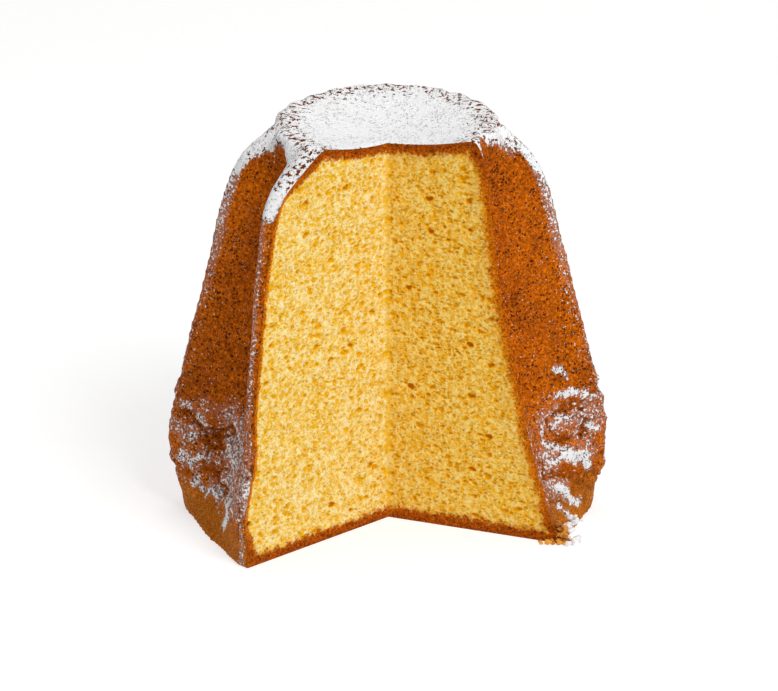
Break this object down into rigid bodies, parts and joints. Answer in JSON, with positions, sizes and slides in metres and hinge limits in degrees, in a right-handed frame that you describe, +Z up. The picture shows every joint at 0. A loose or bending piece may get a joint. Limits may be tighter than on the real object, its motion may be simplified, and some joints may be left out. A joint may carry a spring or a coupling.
{
  "type": "pandoro",
  "caption": "Tall star-shaped sweet loaf dusted with icing sugar, standing on its wide end, with a wedge cut out to show the yellow crumb.",
  "frame": {"origin": "on the loaf's own axis, where the star of ridges is centred, on the flat base it stands on", "axes": "+Z up along the loaf's axis, -Y towards the open side of the cut wedge, +X to the right of someone who faces the wedge"},
  "size_m": [0.1997, 0.1686, 0.1882],
  "materials": {
    "crust": "baked crust, matte, golden brown, with fine pits",
    "crumb": "soft open crumb, matte, egg yellow",
    "icing_sugar": "fine powder, matte, white"
  },
  "bodies": {
    "root": {"pandoro": "crust"}
  },
  "joints": []
}
